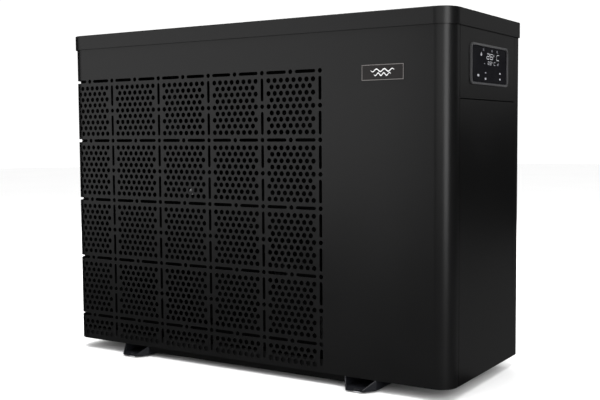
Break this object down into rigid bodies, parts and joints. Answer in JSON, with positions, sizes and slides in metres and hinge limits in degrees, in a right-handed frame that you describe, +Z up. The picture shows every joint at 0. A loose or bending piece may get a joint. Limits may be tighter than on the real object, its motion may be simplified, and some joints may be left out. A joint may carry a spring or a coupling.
{
  "type": "pool heat pump",
  "caption": "Box-shaped outdoor heat pump for pool water: perforated wrap-round front over an axial fan, side touch display, two rear water unions and slotted feet.",
  "frame": {"origin": "centre of the footprint box, on the floor under the rubber pads", "axes": "+X towards the display side, +Y towards the back with the water unions, +Z up; the perforated front faces -Y"},
  "size_m": [0.85, 0.383, 0.644],
  "materials": {
    "casing_paint": "satin, fine powder-coat texture",
    "pan_paint": "matt black",
    "galvanised": "dull zinc",
    "rubber": "matt",
    "black_plastic": "fine grain",
    "bezel_plastic": "semi-gloss",
    "screen": "polished",
    "board": "solder resist",
    "coil_fin": "dull",
    "copper": "drawn copper",
    "steel_shell": "gloss black",
    "water_plastic": "moulded",
    "union_plastic": "moulded",
    "sink_metal": "extruded",
    "plate_print": "satin",
    "screw_steel": "blackened"
  },
  "bodies": {
    "casing": {"base_pan": "pan_paint", "left_foot": "pan_paint", "right_foot": "pan_paint", "foot_pads": "rubber", "front_panel": "casing_paint", "left_side_panel": "casing_paint", "right_upper_panel": "casing_paint", "right_service_panel": "casing_paint", "rear_corner_panel": "casing_paint", "rear_coil_frame": "casing_paint", "coil_guard": "black_plastic", "guard_clips": "black_plastic", "top_cover": "casing_paint", "partition_plate": "galvanised", "evaporator_fins": "coil_fin", "coil_end_plates": "galvanised", "coil_return_bends": "copper", "fan_shroud": "black_plastic", "fan_motor": "steel_shell", "motor_bracket": "galvanised", "compressor": "steel_shell", "compressor_base": "steel_shell", "compressor_grommets": "rubber", "compressor_bolts": "screw_steel", "compressor_terminal_cap": "black_plastic", "accumulator": "steel_shell", "accumulator_strap": "galvanised", "four_way_valve": "copper", "expansion_valve": "copper", "water_heat_exchanger": "water_plastic", "flow_switch": "black_plastic", "electrics_box": "galvanised", "electrics_box_cover": "galvanised", "inverter_board": "board", "heat_sink": "sink_metal", "line_choke": "steel_shell", "terminal_block": "black_plastic", "cable_glands": "black_plastic", "display_bezel": "bezel_plastic", "display_glass": "screen", "display_board": "board", "nameplate": "plate_print", "drain_nipple": "black_plastic", "casing_screws": "screw_steel", "discharge_pipe": "copper", "suction_pipe": "copper", "liquid_pipe": "copper", "inlet_pipe": "union_plastic", "inlet_tailpiece": "union_plastic", "outlet_pipe": "union_plastic", "outlet_tailpiece": "union_plastic"},
    "fan": {"fan_wheel": "black_plastic", "fan_shaft": "sink_metal", "fan_nut": "screw_steel"},
    "inlet_nut": {"inlet_union_nut": "union_plastic"},
    "outlet_nut": {"outlet_union_nut": "union_plastic"}
  },
  "joints": [
    {"name": "fan_spin", "type": "hinge", "parent": "casing", "child": "fan", "pos_m": [-0.122, -0.1035, 0.332], "axis": [0, 1, 0], "continuous": true},
    {"name": "inlet_nut_turn", "type": "hinge", "parent": "casing", "child": "inlet_nut", "pos_m": [0.345, 0.1575, 0.096], "axis": [0, 1, 0], "continuous": true},
    {"name": "outlet_nut_turn", "type": "hinge", "parent": "casing", "child": "outlet_nut", "pos_m": [0.345, 0.1575, 0.392], "axis": [0, 1, 0], "continuous": true}
  ]
}
